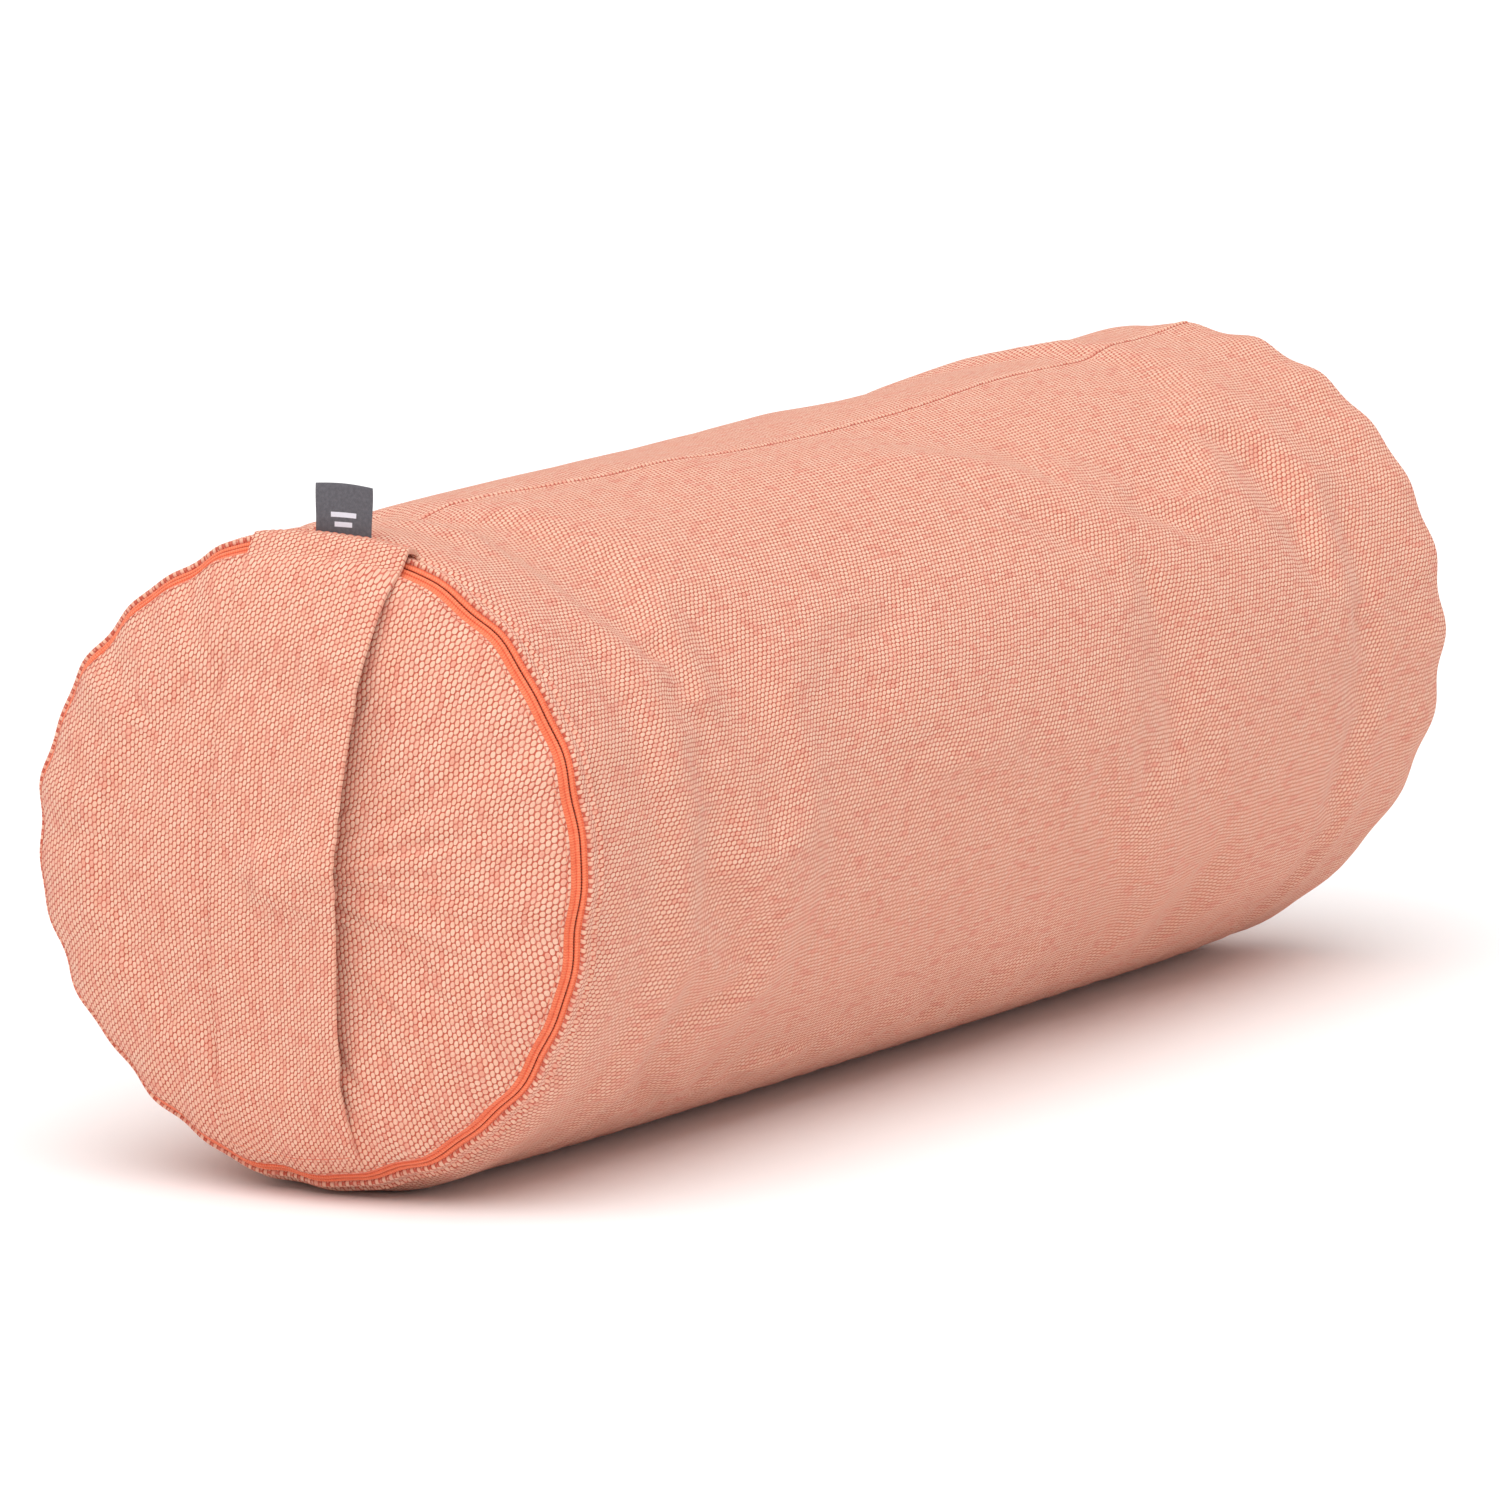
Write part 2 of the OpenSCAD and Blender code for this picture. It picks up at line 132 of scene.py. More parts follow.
def settle(p):
    """Where a point of the plump, round bolster goes once it has been sewn, gathered and laid down."""
    x, y, h = p[0], p[1], p[2] - AXIS_Z
    r = math.hypot(y, h)
    angle = math.degrees(math.atan2(-y, h)) % 360
    front_way = math.hypot(max(0, x - ZIP_X), max(0, FRONT_R - 8 * MM - r) if x < ZIP_X + 20 * MM else 0)
    rear_way = math.hypot(max(0, REAR_X - x), max(0, REAR_R - 8 * MM - r) if x > REAR_X - 20 * MM else 0)
    grow = shift = 0
    if front_way < 0.12:
        fade = math.exp(-(front_way / (24 * MM)) ** 1.5) * near_top(angle)
        wave = scallop(angle, FRONT_WAVES)
        sag = sum(depth * swell(turn_gap(angle, at), 0, spread) for at, spread, depth in FRONT_SAG)
        grow += MM * (fade * 1.15 * wave + sag * math.exp(-(front_way / (45 * MM)) ** 2) * near_top(angle))
        shift += MM * fade * 0.9 * scallop(angle + 5, FRONT_WAVES)
        shift += 0.05 * y * math.exp(-(front_way / 0.07) ** 2)
    if rear_way < 0.2:
        fade = math.exp(-(rear_way / (20 * MM)) ** 1.4)
        grow += MM * fade * 1.5 * scallop(angle, REAR_WAVES)
        shift += MM * fade * 1.2 * scallop(angle + 4, REAR_WAVES)
        shift += (0.10 * h - 0.045 * y) * math.exp(-(rear_way / 0.09) ** 2)
    if r > 1e-6:
        y += grow * y / r
        h += grow * h / r
    along = max(0.0, min(1.0, (x - FRONT_X) / (REAR_X - FRONT_X)))
    round_r = barrel(max(FRONT_X, min(REAR_X, x)))
    rims = FRONT_R + (REAR_R - FRONT_R) * along
    if h > 0:
        crown = rims + MM * (2.4 * swell(along, 0.76, 0.14) - 1.2 * swell(along, 0.42, 0.2) + 1.0 * swell(along, 0.06, 0.05))
        h *= crown / round_r
    else:
        ends = math.exp(-(x - FRONT_X) / (14 * MM)) if x > FRONT_X else 1
        ends = max(ends, math.exp(-(REAR_X - x) / (16 * MM)) if x < REAR_X else 1)
        h *= (rims + (AXIS_Z + 2.5 * MM - rims) * (1 - ends)) / round_r
    z = AXIS_Z + h
    soft = 0.9 * MM                               # the cloth lies flat where it meets the floor
    if z < 12 * soft:
        z = soft * math.log1p(math.exp(z / soft))
    return Vector((x + shift, y, z))


def at(x, r, angle):
    """The point at a radius and an angle from the top, before settling."""
    a = math.radians(angle)
    return Vector((x, -r * math.sin(a), AXIS_Z + r * math.cos(a)))


# ---------------------------------------------------------------- mesh helpers
def finished(name, bm, body, material, smooth=True, stands_for=()):
    """Turns a bmesh into a named piece on a body of the frame."""
    mesh = bpy.data.meshes.new(name)
    bm.to_mesh(mesh)
    bm.free()
    for face in mesh.polygons:
        face.use_smooth = smooth
    piece = bpy.data.objects.new(name, mesh)
    bpy.context.scene.collection.objects.link(piece)
    mesh.materials.append(material)
    if body:
        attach(piece, body)
    if stands_for:
        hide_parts(*stands_for)
    return piece


def settled(bm):
    for v in bm.verts:
        v.co = settle(v.co)
    return bm


def outline(bm, points):
    """A chain of edges through [x, radius] points, straight up from the axis, with its own length as an attribute."""
    length = bm.verts.layers.float.new("length")
    verts, run, last = [], 0.0, None
    for x, r in points:
        v = bm.verts.new((x, 0, AXIS_Z + r))
        if last is not None:
            run += (v.co - last).length
        v[length] = run
        last = v.co.copy()
        verts.append(v)
    return verts, [bm.edges.new(pair) for pair in zip(verts, verts[1:])]


def spun(points, steps, start=0, sweep=360, closed_outline=False):
    """Spins an outline about the bolster's axis. A positive sweep runs from the top towards the strap's slider side."""
    bm = bmesh.new()
    verts, edges = outline(bm, points)
    if closed_outline:
        edges.append(bm.edges.new((verts[-1], verts[0])))
    centre = (0, 0, AXIS_Z)
    geometry = verts + edges
    bmesh.ops.rotate(bm, verts=verts, cent=centre, matrix=turned(start))
    bmesh.ops.spin(bm, geom=geometry, cent=centre, axis=(1, 0, 0), dvec=(0, 0, 0), angle=math.radians(sweep),
                   steps=steps, use_merge=sweep == 360, use_duplicate=False)
    bmesh.ops.remove_doubles(bm, verts=bm.verts, dist=1e-6)
    bmesh.ops.recalc_face_normals(bm, faces=bm.faces)
    return bm


def turned(angle):
    return Matrix.Rotation(math.radians(angle), 3, "X")


def face_out(bm):
    """Turns every face of an open sheet away from the bolster's axis or middle."""
    middle = Vector((MID_X, 0, AXIS_Z))
    total = sum(f.normal.dot(f.calc_center_median() - middle) * f.calc_area() for f in bm.faces)
    if total < 0:
        bmesh.ops.reverse_faces(bm, faces=bm.faces)
    return bm


def angle_of(co):
    return math.degrees(math.atan2(-co.y, co.z - AXIS_Z)) % 360


def map_around(bm, radius):
    """Lays the weave round the bolster: U along it in metres, V round it, cut at the lengthwise seam."""
    uv = bm.loops.layers.uv.new("weave")
    for face in bm.faces:
        middle = (angle_of(face.calc_center_median()) - SEAM_ANGLE) % 360
        for loop in face.loops:
            angle = (angle_of(loop.vert.co) - SEAM_ANGLE) % 360
            if abs(angle - middle) > 180:
                angle += 360 if angle < middle else -360
            loop[uv].uv = (math.radians(angle) * radius, loop.vert.co.x)
    return bm


def map_flat(bm):
    """Lays the weave straight across a round end: U across it and V up it, in metres."""
    uv = bm.loops.layers.uv.new("weave")
    for face in bm.faces:
        for loop in face.loops:
            loop[uv].uv = (loop.vert.co.y, loop.vert.co.z)
    return bm


def inflate(piece, pinned, pressure, cap, frames=20):
    """Lets air pressure and the cloth's own stretch shape a panel, then keeps the result, moved by at most cap."""
    group = piece.vertex_groups.new(name="sewn")
    for index, weight in pinned.items():
        group.add([index], weight, "REPLACE")
    rest = [v.co.copy() for v in piece.data.vertices]
    cloth = piece.modifiers.new("Cloth", "CLOTH")
    cloth.settings.quality = 5
    cloth.settings.mass = 0.3
    cloth.settings.tension_stiffness = 15
    cloth.settings.compression_stiffness = 15
    cloth.settings.bending_stiffness = 0.6
    cloth.settings.shrink_min = -0.025
    cloth.settings.use_pressure = True
    cloth.settings.uniform_pressure_force = pressure
    cloth.settings.vertex_group_mass = "sewn"
    cloth.settings.effector_weights.gravity = 0
    cloth.collision_settings.use_collision = False
    scene = bpy.context.scene
    for step in range(1, frames + 1):
        scene.frame_set(step)
    shaped = piece.evaluated_get(bpy.context.evaluated_depsgraph_get())
    for v, start, end in zip(piece.data.vertices, rest, [w.co.copy() for w in shaped.data.vertices]):
        way = end - start
        v.co = start + way * min(1, cap / max(way.length, 1e-9))
    piece.modifiers.remove(cloth)
    piece.vertex_groups.remove(group)
    scene.frame_set(1)


def subdivided(piece, levels=1):
    smooth = piece.modifiers.new("Rounding", "SUBSURF")
    smooth.levels = smooth.render_levels = levels
    smooth.boundary_smooth = "PRESERVE_CORNERS"
    return piece


# ---------------------------------------------------------------- materials
class Nodes:
    """A material's node tree, with short ways to add and join nodes."""

    def __init__(self, name):
        self.material = bpy.data.materials.new(name)
        self.material.use_nodes = True
        self.tree = self.material.node_tree
        self.shader = self.tree.nodes["Principled BSDF"]

    def add(self, kind, inputs=(), **settings):
        node = self.tree.nodes.new("ShaderNode" + kind)
        for key, value in settings.items():
            setattr(node, key, value)
        for key, value in dict(inputs).items():
            self.feed(node.inputs[key], value)
        return node

    def feed(self, socket, value):
        if isinstance(value, bpy.types.NodeSocket):
            self.tree.links.new(value, socket)
        else:
            socket.default_value = value

    def math(self, operation, a, b=0.0, c=0.0, clamp=False):
        node = self.add("Math", operation=operation, use_clamp=clamp)
        for socket, value in zip(node.inputs, (a, b, c)):
            self.feed(socket, value)
        return node.outputs[0]

    def mix(self, share, a, b, blend="MIX"):
        node = self.add("Mix", data_type="RGBA", blend_type=blend, clamp_factor=True)
        self.feed(node.inputs["Factor"], share)
        self.feed(node.inputs["A"], a)
        self.feed(node.inputs["B"], b)
        return node.outputs["Result"]

    def noise(self, vector, scale, detail=2.0, roughness=0.5):
        node = self.add("TexNoise", {"Vector": vector, "Scale": scale, "Detail": detail, "Roughness": roughness})
        return node.outputs["Fac"]

    def ramp(self, value, low, high):
        node = self.add("MapRange", {"Value": value, "From Min": low, "From Max": high}, interpolation_type="SMOOTHSTEP")
        return node.outputs["Result"]

    def uv(self):
        return self.add("UVMap", uv_map="weave").outputs["UV"]

    def place(self):
        return self.add("TexCoord").outputs["Object"]

    def bump(self, height, distance, strength=1.0, under=None):
        node = self.add("Bump", {"Height": height, "Distance": distance, "Strength": strength})
        if under is not None:
            self.feed(node.inputs["Normal"], under)
        self.feed(self.shader.inputs["Normal"], node.outputs["Normal"])
        return node.outputs["Normal"]

    def surface(self, colour, roughness, **fixed):
        self.feed(self.shader.inputs["Base Color"], colour)
        self.feed(self.shader.inputs["Roughness"], roughness)
        for key, value in fixed.items():
            self.shader.inputs[key.replace("_", " ")].default_value = value
        return self.material


def rgb(red, green, blue):
    """A colour from its everyday 0-255 values."""
    return tuple(((c / 255) / 12.92 if c <= 10 else ((c / 255 + 0.055) / 1.055) ** 2.4) for c in (red, green, blue)) + (1,)


COLUMN = 1.54 * MM                                # from one column of floats to the next
REPEAT = 2.28 * MM                                # along a column, from one float to the next


def woven_floats(name, pale, warm, rose, ground, sheen=0.1):
    """Chunky cloth: oval floats of a pale yarn, staggered from column to column over a coral ground."""
    n = Nodes(name)
    uv = n.uv()
    sway = n.add("TexNoise", {"Vector": uv, "Scale": 160.0, "Detail": 1.0}).outputs["Color"]
    nudge = n.add("VectorMath", {0: sway, 1: (0.5, 0.5, 0.5)}, operation="SUBTRACT").outputs[0]
    small = n.add("VectorMath", {0: nudge, "Scale": 1.1 * MM}, operation="SCALE").outputs[0]
    laid = n.add("VectorMath", {0: uv, 1: small}, operation="ADD").outputs[0]
    part = n.add("SeparateXYZ", {0: laid})
    across = n.math("DIVIDE", part.outputs["X"], COLUMN)
    column = n.math("FLOOR", across)
    odd = n.math("MODULO", n.math("ABSOLUTE", column), 2.0)
    along = n.math("ADD", n.math("DIVIDE", part.outputs["Y"], REPEAT), n.math("MULTIPLY", odd, 0.5))
    row = n.math("FLOOR", along)
    side = n.math("SUBTRACT", n.math("FRACT", across), 0.5)
    end = n.math("SUBTRACT", n.math("FRACT", along), 0.5)
    lean = n.math("ADD", side, n.math("MULTIPLY", end, 0.22))
    away = n.math("SQRT", n.math("ADD", n.math("POWER", n.math("ABSOLUTE", n.math("DIVIDE", lean, 0.50)), 2.3),
                                 n.math("POWER", n.math("ABSOLUTE", n.math("DIVIDE", end, 0.49)), 2.3)))
    float_mask = n.ramp(away, 1.04, 0.74)
    cell = n.add("CombineXYZ", {"X": column, "Y": row}).outputs[0]
    chance = n.add("TexWhiteNoise", {"Vector": cell}, noise_dimensions="2D")
    pick = chance.outputs["Value"]
    slub_place = n.add("CombineXYZ", {"X": n.math("MULTIPLY", column, 7.31),
                                      "Y": n.math("MULTIPLY", part.outputs["Y"], 110.0)}).outputs[0]
    slub = n.ramp(n.noise(slub_place, 1.0, 1.0), 0.52, 0.72)
    blotch = n.ramp(n.noise(uv, 210.0, 3.0, 0.6), 0.42, 0.68)
    warm_patch = n.ramp(n.noise(n.add("VectorMath", {0: uv, 1: (3.1, 1.7, 0.4)}, operation="ADD").outputs[0], 95.0, 2.0), 0.50, 0.70)
    yarn = n.mix(n.math("MULTIPLY", pick, 0.55), pale, warm)
    yarn = n.mix(n.math("MULTIPLY", warm_patch, 0.35), yarn, warm)
    yarn = n.mix(n.math("MULTIPLY", n.math("MULTIPLY_ADD", blotch, 0.45, slub, clamp=True), 0.55), yarn, rose)
    dark = n.mix(n.math("MULTIPLY", blotch, 0.4), ground, rose)
    fibre = n.noise(n.add("Mapping", {"Vector": uv, "Scale": (5200.0, 1500.0, 1.0)}).outputs[0], 1.0, 1.0)
    yarn = n.mix(n.math("MULTIPLY", n.ramp(fibre, 0.55, 0.3), 0.16), yarn, ground)
    colour = n.mix(float_mask, dark, yarn)
    dome = n.math("MULTIPLY", float_mask, n.math("SUBTRACT", 1.25, n.math("MULTIPLY", away, 0.6)))
    height = n.math("ADD", dome, n.math("MULTIPLY", fibre, 0.12))
    n.bump(height, 0.28 * MM, 0.85)
    return n.surface(colour, 0.88, Sheen_Weight=sheen, Sheen_Roughness=0.5, Specular_IOR_Level=0.25)


PALE, WARM, ROSE, GROUND = rgb(241, 198, 173), rgb(237, 176, 146), rgb(227, 142, 122), rgb(192, 88, 68)
COVER_CLOTH = woven_floats("coral_basket_weave", PALE, WARM, ROSE, GROUND)
STRAP_CLOTH = woven_floats("strap_basket_weave", PALE, WARM, ROSE, GROUND)


def yarn_thread(name, colour, shade):
    """Twisted sewing thread."""
    n = Nodes(name)
    place = n.place()
    twist = n.add("TexWave", {"Vector": place, "Scale": 900.0, "Distortion": 1.5, "Detail": 1.0}).outputs["Fac"]
    n.bump(twist, 0.1 * MM, 0.6)
    return n.surface(n.mix(n.noise(place, 700.0), colour, shade), 0.6, Sheen_Weight=0.2)


THREAD = yarn_thread("coral_thread", rgb(238, 146, 116), rgb(222, 116, 88))
# Thread for the lengthwise seam, darker than the other thread: its deep coral is painted shade standing in for the
# seam's groove.
PAINTED_SEAM_SHADE = yarn_thread("seam_thread_painted_groove_shade", rgb(214, 96, 72), rgb(176, 66, 50))
BAG_THREAD = yarn_thread("ecru_thread", rgb(226, 214, 188), rgb(196, 182, 152))


def herringbone_tape(name, colour, shade):
    """Tightly woven zip tape with a fine herringbone."""
    n = Nodes(name)
    uv = n.uv()
    part = n.add("SeparateXYZ", {0: uv})
    slant = n.math("PINGPONG", n.math("MULTIPLY", part.outputs["Y"], 900.0), 1.0)
    rib = n.math("SINE", n.math("ADD", n.math("MULTIPLY", part.outputs["X"], 7000.0), n.math("MULTIPLY", slant, 3.0)))
    n.bump(rib, 0.08 * MM, 0.7)
    tone = n.math("MULTIPLY_ADD", rib, 0.3, n.noise(uv, 500.0))
    return n.surface(n.mix(n.ramp(tone, 0.2, 1.0), shade, colour), 0.75, Sheen_Weight=0.15)


ZIP_TAPE = herringbone_tape("orange_zip_tape", rgb(250, 140, 98), rgb(238, 112, 72))
BAG_TAPE = herringbone_tape("ecru_zip_tape", rgb(228, 218, 196), rgb(200, 188, 160))


def nylon(name, colour, shade):
    """Smooth extruded nylon, a little waxy."""
    n = Nodes(name)
    place = n.place()
    grain = n.noise(place, 1500.0)
    n.bump(grain, 0.03 * MM, 0.5)
    return n.surface(n.mix(grain, colour, shade), 0.42, Coat_Weight=0.08, Subsurface_Weight=0.04)


ZIP_COIL = nylon("orange_nylon_coil", rgb(236, 112, 74), rgb(204, 76, 46))
BAG_COIL = nylon("ecru_nylon_coil", rgb(226, 216, 194), rgb(204, 192, 166))


def lacquered(name, colour, worn, metal):
    """Cast zinc under lacquer or plating, rubbed in places."""
    n = Nodes(name)
    place = n.place()
    rub = n.ramp(n.noise(place, 900.0, 3.0), 0.6, 0.78)
    n.bump(n.noise(place, 2400.0), 0.02 * MM, 0.5)
    return n.surface(n.mix(rub, colour, worn), 0.36, Coat_Weight=0.3, Metallic=metal)


SLIDER_LACQUER = lacquered("orange_lacquered_zinc", rgb(232, 110, 72), rgb(206, 128, 98), 0.0)
BAG_NICKEL = lacquered("nickel_plated_zinc", rgb(176, 176, 178), rgb(214, 214, 216), 1.0)


def damask_label(name, ground, shade, mark, low, high):
    """A tight dark label with two plain light bars woven in near its foot."""
    n = Nodes(name)
    uv = n.uv()
    part = n.add("SeparateXYZ", {0: uv})
    thread = n.math("SINE", n.math("MULTIPLY", part.outputs["Y"], 14000.0))
    cross = n.math("SINE", n.math("MULTIPLY", part.outputs["X"], 11000.0))
    weave = n.math("MULTIPLY", thread, cross)
    n.bump(weave, 0.05 * MM, 0.6)
    base = n.mix(n.ramp(n.math("MULTIPLY_ADD", weave, 0.25, n.noise(uv, 900.0)), 0.2, 0.9), shade, ground)
    middle = n.math("ABSOLUTE", part.outputs["X"])
    bars = None
    for centre, half in ((low, 3.2 * MM), (high, 4.6 * MM)):
        tall = n.math("ABSOLUTE", n.math("SUBTRACT", part.outputs["Y"], centre))
        inside = n.math("MULTIPLY", n.ramp(tall, 0.85 * MM, 0.7 * MM), n.ramp(middle, half + 0.1 * MM, half))
        bars = inside if bars is None else n.math("MAXIMUM", bars, inside)
    return n.surface(n.mix(bars, base, mark), 0.7, Sheen_Weight=0.25, Specular_IOR_Level=0.35)


def cotton(name, colour, shade):
    """Unbleached cotton in a fine twill, with darker flecks."""
    n = Nodes(name)
    uv = n.uv()
    part = n.add("SeparateXYZ", {0: uv})
    twill = n.math("SINE", n.math("ADD", n.math("MULTIPLY", part.outputs["X"], 5200.0), n.math("MULTIPLY", part.outputs["Y"], 5200.0)))
    n.bump(n.math("MULTIPLY_ADD", twill, 0.5, n.noise(uv, 900.0)), 0.1 * MM, 0.6)
    fleck = n.ramp(n.noise(n.add("Mapping", {"Vector": uv, "Scale": (900.0, 250.0, 1.0)}).outputs[0], 1.0, 3.0), 0.62, 0.75)
    tone = n.mix(n.noise(uv, 60.0, 3.0), colour, shade)
    return n.surface(n.mix(n.math("MULTIPLY", fleck, 0.5), tone, shade), 0.85, Sheen_Weight=0.2)


BAG_COTTON = cotton("unbleached_cotton", rgb(232, 224, 204), rgb(206, 192, 162))
CARE_SATIN = cotton("white_satin_ribbon", rgb(242, 242, 238), rgb(222, 222, 218))


def husks(name):
    """Loose spelt husks, pressed together."""
    n = Nodes(name)
    place = n.place()
    cells = n.add("TexVoronoi", {"Vector": place, "Scale": 260.0})
    shade = n.mix(n.add("SeparateColor", {0: cells.outputs["Color"]}).outputs[0], rgb(206, 176, 122), rgb(150, 116, 66))
    n.bump(cells.outputs["Distance"], 1.2 * MM, 1.0)
    return n.surface(shade, 0.8)


HUSKS = husks("spelt_husks")

# ---------------------------------------------------------------- the zip's cross-section
LEAN = math.radians(35)                           # how far the zip faces forward of straight out
OUT = (-math.sin(LEAN), math.cos(LEAN))           # [x, radius], away from the zip's face
ON = (-math.cos(LEAN), -math.sin(LEAN))           # towards the flap


def zip_point(on, out):
    """A point of the zip's cross-section, in millimetres on towards the flap and out from its face."""
    return (ZIP_X + MM * (on * ON[0] + out * OUT[0]), FRONT_R + MM * (on * ON[1] + out * OUT[1]))


RING_STEPS = 288
GAP_ANGLE = 7                                     # half the gap between the zip's ends
ZIP_SWEEP = 360 - 2 * GAP_ANGLE


def body_puff(x):
    """How much the cover swells just behind the zip and before the rear seam."""
    return MM * (2.3 * swell(x, FRONT_X + 15 * MM, 15 * MM) + 1.4 * swell(x, REAR_X - 12 * MM, 12 * MM))


# ---------------------------------------------------------------- the cover's body
def make_body():
    front_edge = [zip_point(-9.0, -1.9), zip_point(-5.0, -1.5), zip_point(-2.9, -0.75), zip_point(-2.35, -0.1),
                  zip_point(-2.3, 0.6), zip_point(-2.75, 1.25), zip_point(-3.9, 1.85)]
    start = FRONT_X + 4.5 * MM
    stations = [start + 5 * MM * i for i in range(8)]
    stations += [stations[-1] + (REAR_X - 0.02 - stations[-1]) * i / 56 for i in range(1, 57)]
    stations += [REAR_X - s * MM for s in (15, 10, 6, 3)]
    skin = [(x, barrel(x) + body_puff(x)) for x in stations]
    rear_edge = [(REAR_X - 1.2 * MM, REAR_R + 0.9 * MM), (REAR_X - 0.35 * MM, REAR_R - 0.1 * MM),
                 (REAR_X - 0.5 * MM, REAR_R - 1.6 * MM), (REAR_X - 2 * MM, REAR_R - 3.2 * MM),
                 (REAR_X - 9 * MM, REAR_R - 3.4 * MM)]
    bm = spun(front_edge + skin + rear_edge, RING_STEPS)
    face_out(bm)
    map_around(bm, BELLY_R)
    settled(bm)
    piece = finished("cover_body", bm, None, COVER_CLOTH)
    held = {}
    for v in piece.data.vertices:
        inward = min(v.co.x - (FRONT_X + 6 * MM), REAR_X - 12 * MM - v.co.x)
        held[v.index] = 1 - 0.97 * ease(inward / 0.05) * ease((v.co.z - 1 * MM) / 0.03)
    inflate(piece, held, 2.0, 3 * MM)
    subdivided(piece)
    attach(piece, MAIN)
    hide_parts("body_panel", "front_seam_allowance", "rear_seam_allowance")
    return piece


# ---------------------------------------------------------------- the round ends
def dome(edge_x, edge_r, apex_x, fullness=2.2, roll=0.75, count=26):
    """Outline of a stuffed round end from near its edge to its middle."""
    points = []
    for i in range(1, count + 1):
        share = 1 - i / count
        rise = (1 - share ** fullness) ** roll
        points.append((edge_x + (apex_x - edge_x) * rise, max(edge_r * share, 0.0)))
    return points


def make_end_panel():
    edge = [zip_point(8.5, -2.2), zip_point(5.6, -1.5), zip_point(4.1, -0.7), zip_point(3.75, 0.1),
            zip_point(4.0, 0.85), zip_point(4.8, 1.15), zip_point(6.2, 1.0)]
    last_x, last_r = edge[-1]
    bm = spun(edge + dome(last_x, last_r, APEX_X, 2.3, 0.8), RING_STEPS)
    if outward_sum(bm, (ZIP_X, 0, AXIS_Z)) < 0:
        bmesh.ops.reverse_faces(bm, faces=bm.faces)
    map_flat(bm)
    settled(bm)
    piece = finished("end_panel", bm, None, COVER_CLOTH)
    held = {}
    for v in piece.data.vertices:
        r = math.hypot(v.co.y, v.co.z - AXIS_Z)
        held[v.index] = 1 - 0.97 * ease((FRONT_R - 7 * MM - r) / 0.03)
    inflate(piece, held, 2.0, 2.5 * MM)
    subdivided(piece)
    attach(piece, FLAP)
    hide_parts("front_end_panel")
    return piece


def outward_sum(bm, middle):
    centre = Vector(middle)
    return sum(f.normal.dot(f.calc_center_median() - centre) * f.calc_area() for f in bm.faces)


def make_rear_panel():
    edge = [(REAR_X - 9 * MM, REAR_R - 4.6 * MM), (REAR_X - 2 * MM, REAR_R - 4.4 * MM),
            (REAR_X - 0.1 * MM, REAR_R - 2.4 * MM), (REAR_X + 0.35 * MM, REAR_R - 1.2 * MM),
            (REAR_X + 1.2 * MM, REAR_R - 0.9 * MM), (REAR_X + 2.6 * MM, REAR_R - 1.6 * MM)]
    last_x, last_r = edge[-1]
    bm = spun(edge + dome(last_x, last_r, REAR_APEX_X, 2.3, 0.8), RING_STEPS)
    if outward_sum(bm, (REAR_X, 0, AXIS_Z)) < 0:
        bmesh.ops.reverse_faces(bm, faces=bm.faces)
    map_flat(bm)
    settled(bm)
    piece = finished("rear_panel", bm, None, COVER_CLOTH)
    held = {}
    for v in piece.data.vertices:
        r = math.hypot(v.co.y, v.co.z - AXIS_Z)
        held[v.index] = 1 - 0.97 * ease((REAR_R - 6 * MM - r) / 0.03)
    inflate(piece, held, 2.0, 2.5 * MM)
    subdivided(piece)
    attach(piece, MAIN)
    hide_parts("rear_end_panel")
    return piece


cover_body = make_body()
end_panel = make_end_panel()
rear_panel = make_rear_panel()


# ---------------------------------------------------------------- the zip round the front end
def zip_strip(name, section, body, stands_for, material):
    """A thin strip round the zip with a closed cross-section of [on, out] points."""
    bm = spun([zip_point(on, out) for on, out in section], RING_STEPS, GAP_ANGLE, ZIP_SWEEP, closed_outline=True)
    bmesh.ops.holes_fill(bm, edges=bm.edges, sides=len(section))
    bmesh.ops.recalc_face_normals(bm, faces=bm.faces)
    map_around(bm, FRONT_R)
    return finished(name, settled(bm), body, material, stands_for=stands_for)


def flat_section(on_from, on_to, out_low, out_high):
    middle = (out_low + out_high) / 2
    return [(on_from, out_low), (on_to, out_low), (on_to + 0.12, middle), (on_to, out_high), (on_from, out_high),
            (on_from - 0.12, middle)]


def round_section(on, out, wide, tall, corners=10):
    return [(on + wide * math.cos(2 * math.pi * i / corners), out + tall * math.sin(2 * math.pi * i / corners))
            for i in range(corners)]


def make_zip():
    zip_strip("body_tape", flat_section(-4.6, -1.5, -0.45, 0.0), MAIN, ["body_zip_tape"], ZIP_TAPE)
    zip_strip("flap_tape", flat_section(1.5, 6.2, -0.45, 0.0), FLAP, ["flap_zip_tape"], ZIP_TAPE)
    zip_strip("body_fold", round_section(-1.02, 0.05, 0.78, 0.55), MAIN, [], ZIP_TAPE)
    zip_strip("flap_fold", round_section(1.02, 0.05, 0.78, 0.55), FLAP, [], ZIP_TAPE)


def make_coil(name, body, on, stands_for):
    """A row of nylon loops under the zip's fold, one small bent loop after another."""
    bm = bmesh.new()
    pitch = 1.0
    count = int(math.radians(ZIP_SWEEP - 3) * FRONT_R / (pitch * MM))
    for i in range(count):
        angle = GAP_ANGLE + 1.5 + (ZIP_SWEEP - 3) * (i + 0.5) / count
        box = bmesh.ops.create_cube(bm, size=1.0)["verts"]
        for v in box:
            corner = v.co.copy()
            spot = on + 0.75 * 2 * corner.x * 0.9
            depth = -1.05 + 0.42 * 2 * corner.y * 0.9
            x, r = zip_point(spot, depth)
            v.co = at(x, r, angle + corner.z * 0.34 + 0.08 * corner.x)
    bmesh.ops.recalc_face_normals(bm, faces=bm.faces)
    return finished(name, settled(bm), body, ZIP_COIL, stands_for=stands_for)


